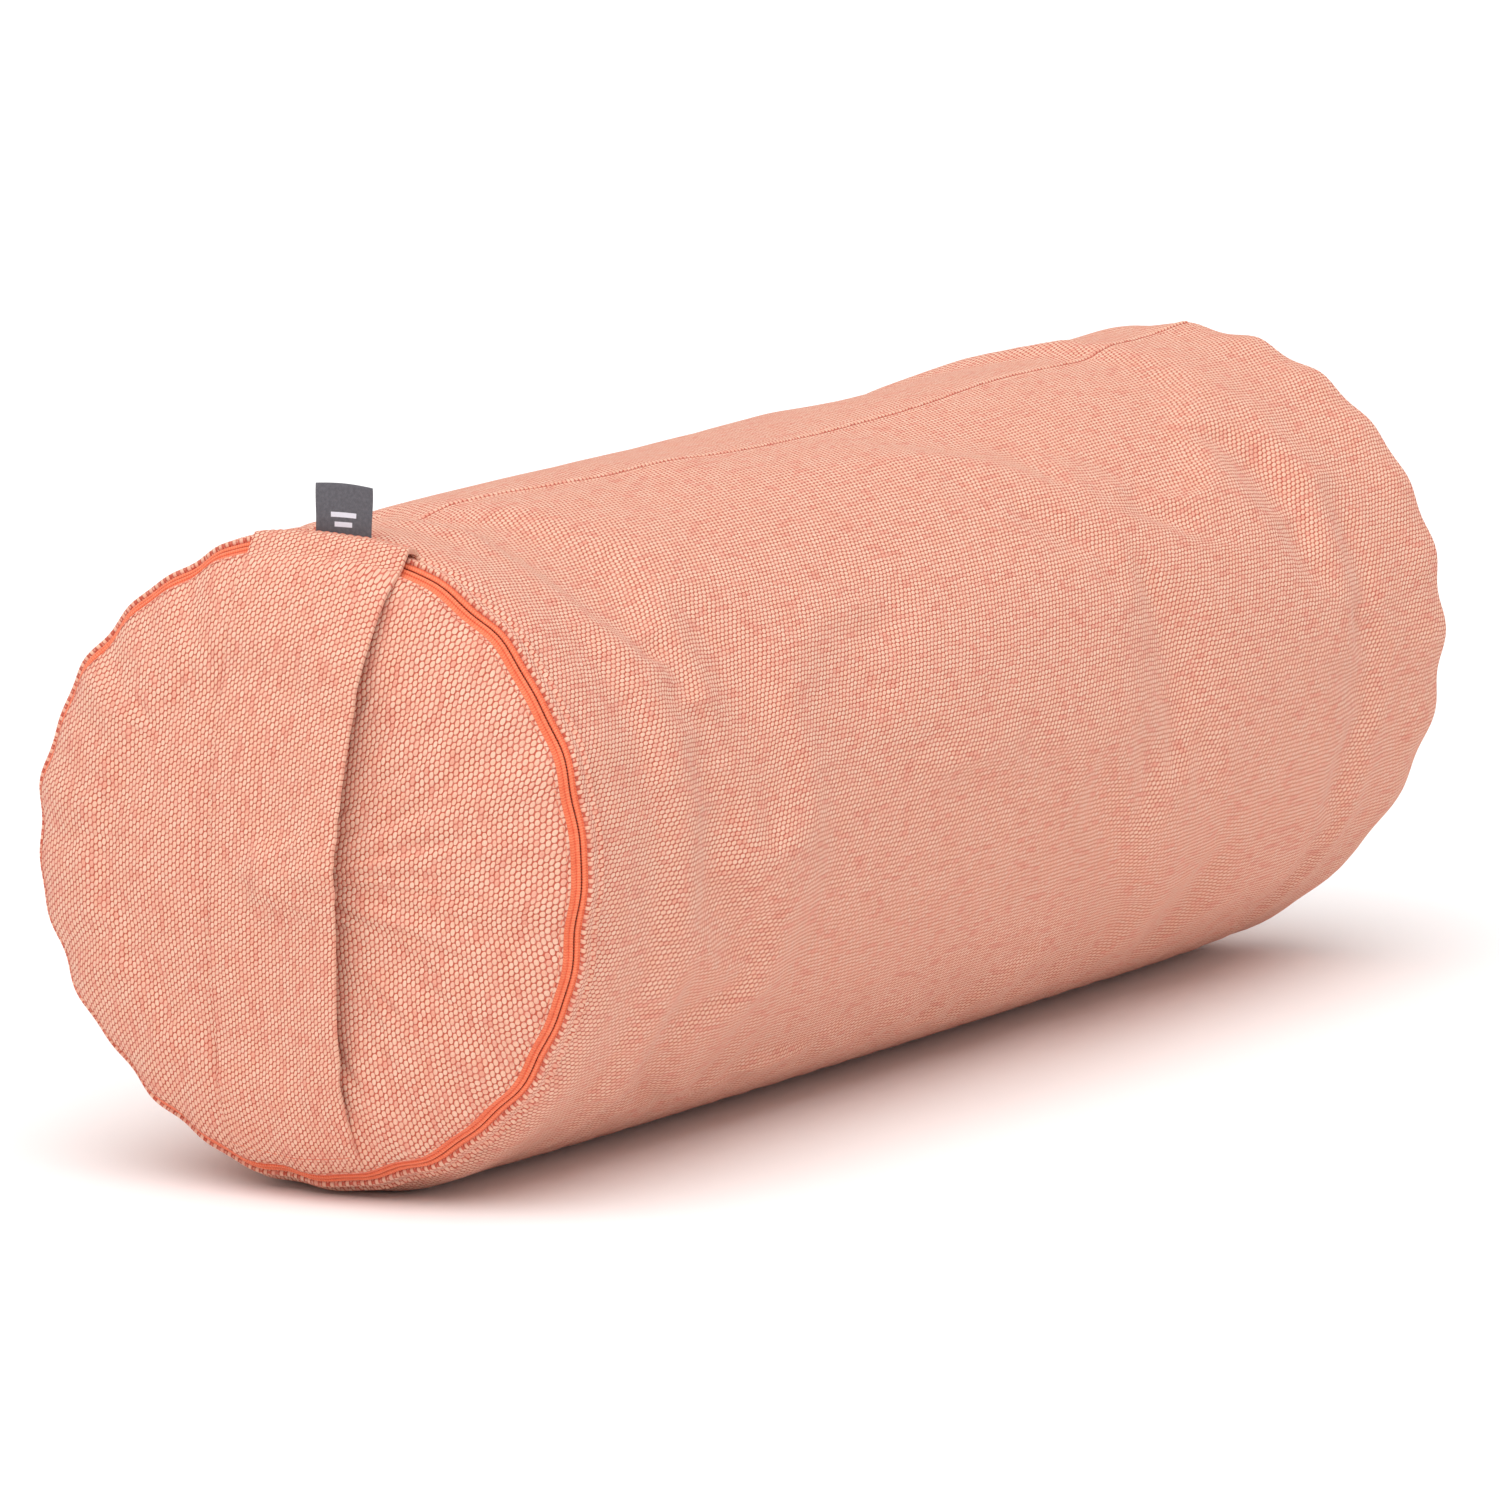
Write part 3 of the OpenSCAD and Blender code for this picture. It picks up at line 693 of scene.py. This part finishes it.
make_zip()
make_coil("body_coil", MAIN, -0.62, ["body_zip_teeth"])
make_coil("flap_coil", FLAP, 0.62, ["flap_zip_teeth"])


# ---------------------------------------------------------------- sewing
def surface_of(piece):
    shaped = piece.evaluated_get(bpy.context.evaluated_depsgraph_get())
    bm = bmesh.new()
    bm.from_mesh(shaped.to_mesh())
    tree = BVHTree.FromBMesh(bm)
    bm.free()
    shaped.to_mesh_clear()
    return tree


def stitch_mesh(bm, p, way, out, length, width=0.55 * MM, tall=0.32 * MM):
    """One stitch: a short rounded bar that dips into the cloth at both ends."""
    side = way.cross(out).normalized()
    made = bmesh.ops.create_uvsphere(bm, u_segments=6, v_segments=5, radius=0.5)["verts"]
    for v in made:
        a, b, c = v.co.z, v.co.x, v.co.y
        bow = tall * (0.25 - a * a) * 1.2
        v.co = p + way * (a * length) + side * (b * width) + out * (c * tall + bow)


def stitch_row(name, points, outs, body, material=None, stands_for=(), length=2.3 * MM, gap=0.7 * MM):
    """Stitches along a line of close points, each with the direction that is out of the cloth there."""
    bm = bmesh.new()
    run, due = 0.0, 0.0
    for p, q, out in zip(points, points[1:], outs):
        step = (q - p).length
        while due < run + step and step > 0:
            spot = p.lerp(q, (due - run) / step)
            stitch_mesh(bm, spot, (q - p).normalized(), out, length)
            due += length + gap
        run += step
    bmesh.ops.recalc_face_normals(bm, faces=bm.faces)
    return finished(name, bm, body, material or THREAD, stands_for=stands_for)


def seam_wander(x):
    """How the lengthwise seam wavers from side to side, as an angle from the top."""
    along = (x - FRONT_X) / (REAR_X - FRONT_X)
    return -4.6 + 9.6 * ease(along / 0.42) - 2.4 * ease((along - 0.55) / 0.4) + 0.5 * math.sin(along * 31)


def make_length_seam():
    """The two panels' edges meet in a shallow ridge and groove along the top, with a row of close stitches."""
    tree = surface_of(cover_body)
    points, outs = [], []
    x = FRONT_X + 5 * MM
    while x < REAR_X - 4 * MM:
        angle = seam_wander(x)
        start = settle(at(x, barrel(x) + 12 * MM, angle))
        inward = (settle(at(x, barrel(x) - 10 * MM, angle)) - start).normalized()
        hit, normal, _, _ = tree.ray_cast(start, inward)
        if hit is not None:
            points.append(hit)
            outs.append(normal)
        x += 1.5 * MM
    smooth_outs = [sum(outs[max(0, i - 3):i + 4], Vector()).normalized() for i in range(len(outs))]
    ridge = bmesh.new()
    spine = [p + o * 0.05 * MM for p, o in zip(points, smooth_outs)]
    profile = [(-3.4, -0.4), (-2.2, 0.35), (-1.2, 0.75), (-0.5, 0.6), (-0.1, 0.02), (0.3, 0.02), (0.7, 0.2), (1.8, -0.3)]
    bmesh.ops.create_grid(ridge, x_segments=len(profile) - 1, y_segments=len(spine) - 1, size=0.5)
    uv = ridge.loops.layers.uv.new("weave")
    places = {}
    for v in ridge.verts:
        i = round((v.co.y + 0.5) * (len(spine) - 1))
        across, up = profile[round((v.co.x + 0.5) * (len(profile) - 1))]
        p, o = spine[i], smooth_outs[i]
        way = (spine[min(i + 1, len(spine) - 1)] - spine[max(i - 1, 0)]).normalized()
        places[v] = (p + way.cross(o).normalized() * (across * MM) + o * (up * MM), (across * MM, p.x))
    for face in ridge.faces:
        for loop in face.loops:
            loop[uv].uv = places[loop.vert][1]
    for v, (place, _) in places.items():
        v.co = place
    bmesh.ops.recalc_face_normals(ridge, faces=ridge.faces)
    if sum(f.normal.z for f in ridge.faces) < 0:
        bmesh.ops.reverse_faces(ridge, faces=ridge.faces)
    finished("length_seam_fold", ridge, MAIN, COVER_CLOTH, stands_for=["length_seam_allowance"])
    # The seam's stitches carry the darker thread, which is painted shade of the groove they lie in.
    sunk = [p + o * 0.1 * MM for p, o in zip(points, smooth_outs)]
    stitch_row("length_seam_stitches", sunk, smooth_outs, MAIN, PAINTED_SEAM_SHADE, stands_for=["length_seam_thread"],
               length=1.5 * MM, gap=0.9 * MM)


def ring_points(x, r, from_angle=0.0, to_angle=360.0, count=720):
    return [settle(at(x, r, from_angle + (to_angle - from_angle) * i / count)) for i in range(count + 1)]


def ring_outs(points, lean_x=0.0):
    return [Vector((lean_x, p.y, p.z - AXIS_Z)).normalized() for p in points]


make_length_seam()


def make_end_sewing():
    x, r = zip_point(-3.3, 1.1)
    near = ring_points(x, r)
    stitch_row("front_seam_stitches", near, ring_outs(near), MAIN, stands_for=["front_seam_thread"])
    x, r = zip_point(5.6, 1.15)
    flap = ring_points(x, r)
    stitch_row("flap_stitches", flap, ring_outs(flap, -0.05), FLAP, stands_for=["flap_seam_thread"])
    rear = ring_points(REAR_X - 0.2 * MM, REAR_R - 0.6 * MM)
    stitch_row("rear_seam_stitches", rear, ring_outs(rear, 0.05), MAIN, stands_for=["rear_seam_thread"])


make_end_sewing()


# ---------------------------------------------------------------- the carry strap
TOP_SIDES = (20 * MM, -37 * MM)                   # the strap's two edges along Y, where it is sewn at the top
MID_SIDES = (22 * MM, -29.5 * MM)
LOW_SIDES = (25 * MM, -23 * MM)
STRAP_T = 1.9 * MM


PANEL = surface_of(end_panel)


def panel_x(y, z):
    """How far forward the end panel's face stands at a height and a place across."""
    hit, _, _, _ = PANEL.ray_cast(Vector((APEX_X - 0.05, y, z)), Vector((1, 0, 0)))
    return hit.x if hit is not None else FLAP_X - 1 * MM


def strap_edge(share, side):
    """Y of the strap's edge at a share of the way down it, for side 0, away from the slider, or 1."""
    top, mid, low = TOP_SIDES[side], MID_SIDES[side], LOW_SIDES[side]
    return top + (mid - top) * ease(share * 2) if share < 0.5 else mid + (low - mid) * ease(share * 2 - 1)


def strap_point(share, across):
    """The strap's outer face: share runs down it from the top seam, across from its far edge (0) to its near one (1)."""
    y = strap_edge(share, 0) + (strap_edge(share, 1) - strap_edge(share, 0)) * across
    over = 0.11                                   # the share of the strap that passes over the zip
    t = share / over
    low_z = AXIS_Z - math.sqrt((FRONT_R - 3.4 * MM) ** 2 - y * y)
    high_z = AXIS_Z + math.sqrt((FRONT_R - 2.9 * MM) ** 2 - 0.8 * y * y)
    if t < 1:
        # it lies round the cover's top, and flatter over the slider
        top = FRONT_R + 2.6 * MM + 1.8 * MM * math.sin(math.pi * min(1.0, 0.15 + t * 0.85)) - 5.5 * MM * ease((t - 0.45) / 0.55)
        flat = 0.25 + 0.35 * ease((-y - 6 * MM) / (18 * MM))
        ring = math.sqrt(max(top * top - y * y, 1e-9))
        z = AXIS_Z + ring * (1 - flat) + (top - 1.0 * MM * ease((abs(y) - 0.02) / 0.015)) * flat
        return Vector((FRONT_X - 0.6 * MM - 11.5 * MM * t, y, z))
    t = (share - over) / (1 - over)
    z = high_z + (low_z - high_z) * t
    middle = math.sin(math.pi * t)
    lift = 1.9 + 1.2 * ease(across / 0.25) * middle + 6.5 * ease((across - 0.35) / 0.65) * math.sin(math.pi * min(1, t * 1.05 + 0.02)) ** 0.7
    lift += 1.0 * ease(1 - t / 0.12)
    lift -= 1.3 * ease((t - 0.95) / 0.05)
    x = panel_x(y, z) - lift * MM
    if t < 0.08:
        x = min(x, FRONT_X - 12.1 * MM - 45 * MM * t)
    return Vector((x, y, z))


def make_strap():
    rows, columns = 110, 22
    bm = bmesh.new()
    bmesh.ops.create_grid(bm, x_segments=columns, y_segments=rows, size=0.5)
    uv = bm.loops.layers.uv.new("weave")
    length = (FRONT_R * 2 + 40 * MM)
    for face in bm.faces:
        for loop in face.loops:
            across, share = loop.vert.co.x + 0.5, 0.5 - loop.vert.co.y
            loop[uv].uv = ((across - 0.5) * 54 * MM, share * length)
    for v in bm.verts:
        across, share = v.co.x + 0.5, 0.5 - v.co.y
        p = strap_point(share, across)
        p.x -= 0.35 * MM * math.sin(share * 21 + across * 3) * math.sin(math.pi * share)
        v.co = p
    bmesh.ops.recalc_face_normals(bm, faces=bm.faces)
    if sum(f.normal.x for f in bm.faces) > 0:
        bmesh.ops.reverse_faces(bm, faces=bm.faces)
    piece = finished("strap", bm, None, STRAP_CLOTH)
    thick = piece.modifiers.new("Folded_double", "SOLIDIFY")
    thick.thickness = STRAP_T
    thick.offset = -1
    soft = piece.modifiers.new("Edge_fold", "BEVEL")
    soft.width = 0.85 * MM
    soft.segments = 3
    soft.limit_method = "ANGLE"
    soft.angle_limit = math.radians(50)
    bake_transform(piece)
    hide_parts("strap_top_end", "carry_strap", "strap_bottom_end")
    return piece


strap = make_strap()


def strap_rows(name, shares, stands_for):
    tree = surface_of(strap)
    bm = bmesh.new()
    for share in shares:
        points = []
        for i in range(61):
            across = 0.03 + 0.94 * i / 60
            p = strap_point(share, across)
            ahead = strap_point(share + 0.01, across)
            out = (ahead - p).cross(Vector((0, 1, 0))).normalized()
            out = out if out.z - out.x > 0 else -out
            hit, normal, _, _ = tree.find_nearest(p)
            points.append((hit or p, out))
        run, due = 0.0, 0.0
        for (p, out), (q, _) in zip(points, points[1:]):
            step = (q - p).length
            while due < run + step:
                stitch_mesh(bm, p.lerp(q, (due - run) / step), (q - p).normalized(), out, 2.2 * MM)
                due += 2.9 * MM
            run += step
    bmesh.ops.recalc_face_normals(bm, faces=bm.faces)
    return finished(name, bm, FLAP, THREAD, stands_for=stands_for)


strap_rows("strap_top_sewing", [0.02], ["strap_top_stitching"])
strap_rows("strap_foot_sewing", [0.982], ["strap_bottom_stitching"])


def make_strap_root():
    """The strap's turned-in end, caught in the front seam behind the label."""
    bm = bmesh.new()
    bmesh.ops.create_grid(bm, x_segments=20, y_segments=6, size=0.5)
    uv = bm.loops.layers.uv.new("weave")
    for face in bm.faces:
        for loop in face.loops:
            loop[uv].uv = (loop.vert.co.x * 54 * MM, loop.vert.co.y * 10 * MM)
    for v in bm.verts:
        across, down = v.co.x + 0.5, 0.5 - v.co.y
        top = strap_point(0.004, across)
        y = TOP_SIDES[0] + (TOP_SIDES[1] - TOP_SIDES[0]) * across
        low = settle(at(FRONT_X + 2.2 * MM, FRONT_R + 0.4 * MM, math.degrees(math.asin(-y / FRONT_R))))
        p = top.lerp(low, down)
        p += Vector((0.5, 0, 0.9)) * MM * math.sin(math.pi * down)
        v.co = p - Vector((0, 0, 0.5 * MM))
    bmesh.ops.recalc_face_normals(bm, faces=bm.faces)
    if sum(f.normal.z for f in bm.faces) < 0:
        bmesh.ops.reverse_faces(bm, faces=bm.faces)
    piece = finished("strap_root", bm, MAIN, STRAP_CLOTH)
    thick = piece.modifiers.new("Folded_double", "SOLIDIFY")
    thick.thickness = 1.2 * MM
    thick.offset = -1
    return piece


make_strap_root()


def make_hinge_strip():
    """Cover cloth that joins the flap to the body between the zip's two ends."""
    section = [zip_point(-3.2, 0.15), zip_point(-1.5, -0.35), zip_point(0, -0.5), zip_point(1.5, -0.35), zip_point(4.4, 0.15)]
    bm = spun(section, 14, -GAP_ANGLE - 1, 2 * GAP_ANGLE + 2)
    map_around(bm, FRONT_R)
    settled(bm)
    piece = finished("hinge_strip", bm, None, COVER_CLOTH)
    thick = piece.modifiers.new("Cloth", "SOLIDIFY")
    thick.thickness = 1.0 * MM
    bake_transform(piece)
    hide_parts("flap_hinge_strip")


make_hinge_strip()


# ---------------------------------------------------------------- labels
def make_label():
    """A folded damask label that stands in the top seam, a little bowed."""
    width, foot = label_high.y - label_low.y, AXIS_Z + FRONT_R + 1.0 * MM
    tall = label_high.z - foot
    bm = bmesh.new()
    bmesh.ops.create_grid(bm, x_segments=16, y_segments=16, size=0.5)
    uv = bm.loops.layers.uv.new("weave")
    for face in bm.faces:
        for loop in face.loops:
            loop[uv].uv = (loop.vert.co.x * width, (loop.vert.co.y + 0.5) * tall)
    for v in bm.verts:
        a, b = v.co.x, v.co.y + 0.5
        y = (label_low.y + label_high.y) / 2 - a * width * (1 - 0.02 * math.sin(b * 5))
        x = (label_low.x + label_high.x) / 2 + MM * (1.1 * math.sin(b * 2.2) * (0.4 + a) - 0.8 * b * b * (a - 0.3))
        v.co = Vector((x + 0.4 * MM, y, foot + b * tall + MM * (0.7 * math.cos(a * 3.0) * b - 0.5 * b * (a + 0.2))))
    bmesh.ops.recalc_face_normals(bm, faces=bm.faces)
    material = damask_label("grey_damask", rgb(104, 102, 108), rgb(82, 80, 86), rgb(226, 224, 234), 5.2 * MM, 8.2 * MM)
    piece = finished("side_label", bm, MAIN, material, stands_for=["side_label"])
    piece.name = "seam_label"
    thick = piece.modifiers.new("Folded_double", "SOLIDIFY")
    thick.thickness = 0.7 * MM
    thick.offset = 0
    soft = piece.modifiers.new("Fold", "BEVEL")
    soft.width = 0.2 * MM
    soft.segments = 2
    soft.limit_method = "ANGLE"
    return piece


make_label()


def ribbon(name, low, high, bow, body, material, stands_for):
    """A small cloth strip that fills a node's box, bowed out from the axis, with the weave laid on it."""
    middle, size = (low + high) / 2, high - low
    out = Vector((0, middle.y, middle.z - AXIS_Z)).normalized()
    round_way = out.cross(Vector((1, 0, 0)))
    span = max(abs(round_way.y) * size.y, abs(round_way.z) * size.z)
    bm = bmesh.new()
    bmesh.ops.create_grid(bm, x_segments=24, y_segments=8, size=0.5)
    uv = bm.loops.layers.uv.new("weave")
    for face in bm.faces:
        for loop in face.loops:
            loop[uv].uv = (loop.vert.co.y * span, loop.vert.co.x * size.x)
    for v in bm.verts:
        lift = bow * math.cos(v.co.x * 6)
        v.co = middle + Vector((1, 0, 0)) * (v.co.x * size.x) + round_way * (v.co.y * span) + out * lift
    bmesh.ops.recalc_face_normals(bm, faces=bm.faces)
    piece = finished(name, bm, body, material, stands_for=stands_for)
    thick = piece.modifiers.new("Cloth", "SOLIDIFY")
    thick.thickness = 0.35 * MM
    thick.offset = 0
    return piece


ribbon("care_ribbon", care_low, care_high, 0.2 * MM, MAIN, CARE_SATIN, ["care_label"])


# ---------------------------------------------------------------- the inner bag
def bag_radius(x):
    return barrel(x) - (BELLY_R - (bag_high.y - bag_low.y) / 2)


BAG_FRONT_X, BAG_REAR_X = bag_low.x, bag_high.x


def make_inner_bag():
    stations = [BAG_FRONT_X + (BAG_REAR_X - BAG_FRONT_X) * i / 48 for i in range(49)]
    tube = [(x, bag_radius(x)) for x in stations]
    bm = face_out(spun(tube, 144))
    map_around(bm, BELLY_R)
    bag = finished("inner_bag", settled(bm), MAIN, BAG_COTTON, stands_for=["inner_bag_tube"])
    for name, node, edge_x, apex, wave in (
            ("inner_bag_front", "inner_bag_front_end", BAG_FRONT_X, bag_front_low.x, 1.1),
            ("inner_bag_rear", "inner_bag_rear_end", BAG_REAR_X, bag_rear_high.x, 0.8)):
        r = bag_radius(edge_x)
        points = [(edge_x, r), (edge_x + (apex - edge_x) * 0.04, r - 0.2 * MM)] + dome(edge_x, r - 0.4 * MM, apex, 2.1, 0.85)
        bm = spun(points, 144)
        for v in bm.verts:
            away = math.hypot(v.co.y, v.co.z - AXIS_Z)
            pucker = wave * MM * math.sin(math.radians(angle_of(v.co) * 31)) * math.exp(-(r - away) / (12 * MM))
            v.co.x += pucker * (1 if apex < edge_x else -1) * ease((r - away) / (3 * MM))
        if outward_sum(bm, (edge_x, 0, AXIS_Z)) < 0:
            bmesh.ops.reverse_faces(bm, faces=bm.faces)
        map_flat(bm)
        end = finished(name, settled(bm), MAIN, BAG_COTTON, stands_for=[node])
    seam = ring_points(BAG_FRONT_X + 0.5 * MM, bag_radius(BAG_FRONT_X) + 0.2 * MM, count=360)
    stitch_row("inner_bag_sewing", seam, ring_outs(seam), MAIN, BAG_THREAD, length=2.6 * MM, gap=1.2 * MM)


def make_filling():
    inset = 1.4 * MM
    rng = random.Random(12)
    body = [(x, bag_radius(x) - inset) for x in [BAG_FRONT_X + 2 * MM + (BAG_REAR_X - BAG_FRONT_X - 4 * MM) * i / 40
                                                 for i in range(41)]]
    front = dome(BAG_FRONT_X + 2 * MM, bag_radius(BAG_FRONT_X) - inset, bag_front_low.x + 2 * MM, 2.1, 0.85, 14)
    rear = dome(BAG_REAR_X - 2 * MM, bag_radius(BAG_REAR_X) - inset, bag_rear_high.x - 2 * MM, 2.1, 0.85, 14)
    bm = spun(front[::-1] + body + rear, 96)
    for v in bm.verts:
        out = Vector((0, v.co.y, v.co.z - AXIS_Z))
        if out.length > 1e-5:
            v.co -= out.normalized() * rng.uniform(0, 0.8 * MM)
    face_out(bm)
    filling = finished("spelt_filling", settled(bm), MAIN, HUSKS, stands_for=["husk_filling"])


make_inner_bag()
make_filling()


def make_bag_zip():
    """The inner bag's filling zip, along its far side: two tapes and a row of teeth on each."""
    middle = (bag_tape_low + bag_tape_high) / 2
    out = Vector((0, middle.y, middle.z - AXIS_Z)).normalized()
    round_way = Vector((1, 0, 0)).cross(out)
    long = bag_tape_high.x - bag_tape_low.x
    tapes, teeth = bmesh.new(), bmesh.new()
    uv = tapes.loops.layers.uv.new("weave")
    for side in (-1, 1):
        strip = bmesh.ops.create_grid(tapes, x_segments=40, y_segments=4, size=0.5)["verts"]
        for face in {f for v in strip for f in v.link_faces}:
            for loop in face.loops:
                loop[uv].uv = (loop.vert.co.y * 9 * MM, loop.vert.co.x * long)
        for v in strip:
            away = side * (6.4 * MM + v.co.y * 8.8 * MM)
            v.co = middle + Vector((v.co.x * long, 0, 0)) + round_way * away + out * 0.3 * MM
        for i in range(int(long / (1.5 * MM))):
            tooth = bmesh.ops.create_cube(teeth, size=1.0)["verts"]
            for v in tooth:
                spot = round_way * (side * (1.2 + 1.3 * v.co.y) * MM) + out * (v.co.z * 1.3 * MM)
                step = (i + 0.5 + 0.25 * side) * 1.5 * MM - long / 2 + v.co.x * 0.7 * MM
                v.co = middle + Vector((step, 0, 0)) + spot + out * 0.2 * MM
    bmesh.ops.recalc_face_normals(tapes, faces=tapes.faces)
    bmesh.ops.recalc_face_normals(teeth, faces=teeth.faces)
    strips = finished("inner_bag_tapes", tapes, MAIN, BAG_TAPE, stands_for=["inner_zip_tapes"])
    thick = strips.modifiers.new("Cloth", "SOLIDIFY")
    thick.thickness = 0.5 * MM
    thick.offset = 0
    finished("inner_bag_teeth", teeth, MAIN, BAG_COIL, stands_for=["inner_zip_teeth"])


make_bag_zip()

# ---------------------------------------------------------------- the frame's own small hardware
for node in ("zip_slider", "zip_pull_tab", "body_top_stop", "flap_top_stop", "zip_bottom_stop"):
    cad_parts[node].data.materials.clear()
    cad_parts[node].data.materials.append(SLIDER_LACQUER)
for node in ("inner_zip_slider", "inner_zip_stops"):
    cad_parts[node].data.materials.clear()
    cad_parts[node].data.materials.append(BAG_NICKEL)

# ---------------------------------------------------------------- floor, light and camera
def make_studio():
    bm = bmesh.new()
    bmesh.ops.create_grid(bm, x_segments=1, y_segments=1, size=6)
    mesh = bpy.data.meshes.new("floor")
    bm.to_mesh(mesh)
    bm.free()
    floor = bpy.data.objects.new("floor", mesh)
    bpy.context.scene.collection.objects.link(floor)
    n = Nodes("white_floor")
    mesh.materials.append(n.surface(n.mix(n.noise(n.place(), 3.0), rgb(253, 253, 253), rgb(255, 255, 255)), 0.95))
    world = bpy.data.worlds.new("studio")
    world.use_nodes = True
    world.node_tree.nodes["Background"].inputs["Color"].default_value = (1.0, 0.985, 0.985, 1)
    world.node_tree.nodes["Background"].inputs["Strength"].default_value = 0.56
    bpy.context.scene.world = world
    lamp = bpy.data.lights.new("overhead_softbox", "SUN")
    lamp.energy = 2.5
    lamp.angle = math.radians(75)
    light = bpy.data.objects.new("overhead_softbox", lamp)
    bpy.context.scene.collection.objects.link(light)
    light.rotation_euler = Vector((0.42, 0.12, -1.0)).to_track_quat("-Z", "Y").to_euler()


def make_camera():
    """A long lens from the strap's end and the near side, a little above the bolster."""
    data = bpy.data.cameras.new("camera")
    data.sensor_width = 36
    data.lens = 404.5
    data.clip_end = 50
    camera = bpy.data.objects.new("camera", data)
    bpy.context.scene.collection.objects.link(camera)
    camera.location = (-4.8831, -2.7039, 0.9705)
    heading, down = math.radians(61.039), math.radians(8.796)
    look = Vector((math.sin(heading) * math.cos(down), math.cos(heading) * math.cos(down), -math.sin(down)))
    camera.rotation_euler = look.to_track_quat("-Z", "Y").to_euler()
    bpy.context.scene.camera = camera
    bpy.context.scene.view_settings.view_transform = "Standard"


make_studio()
make_camera()
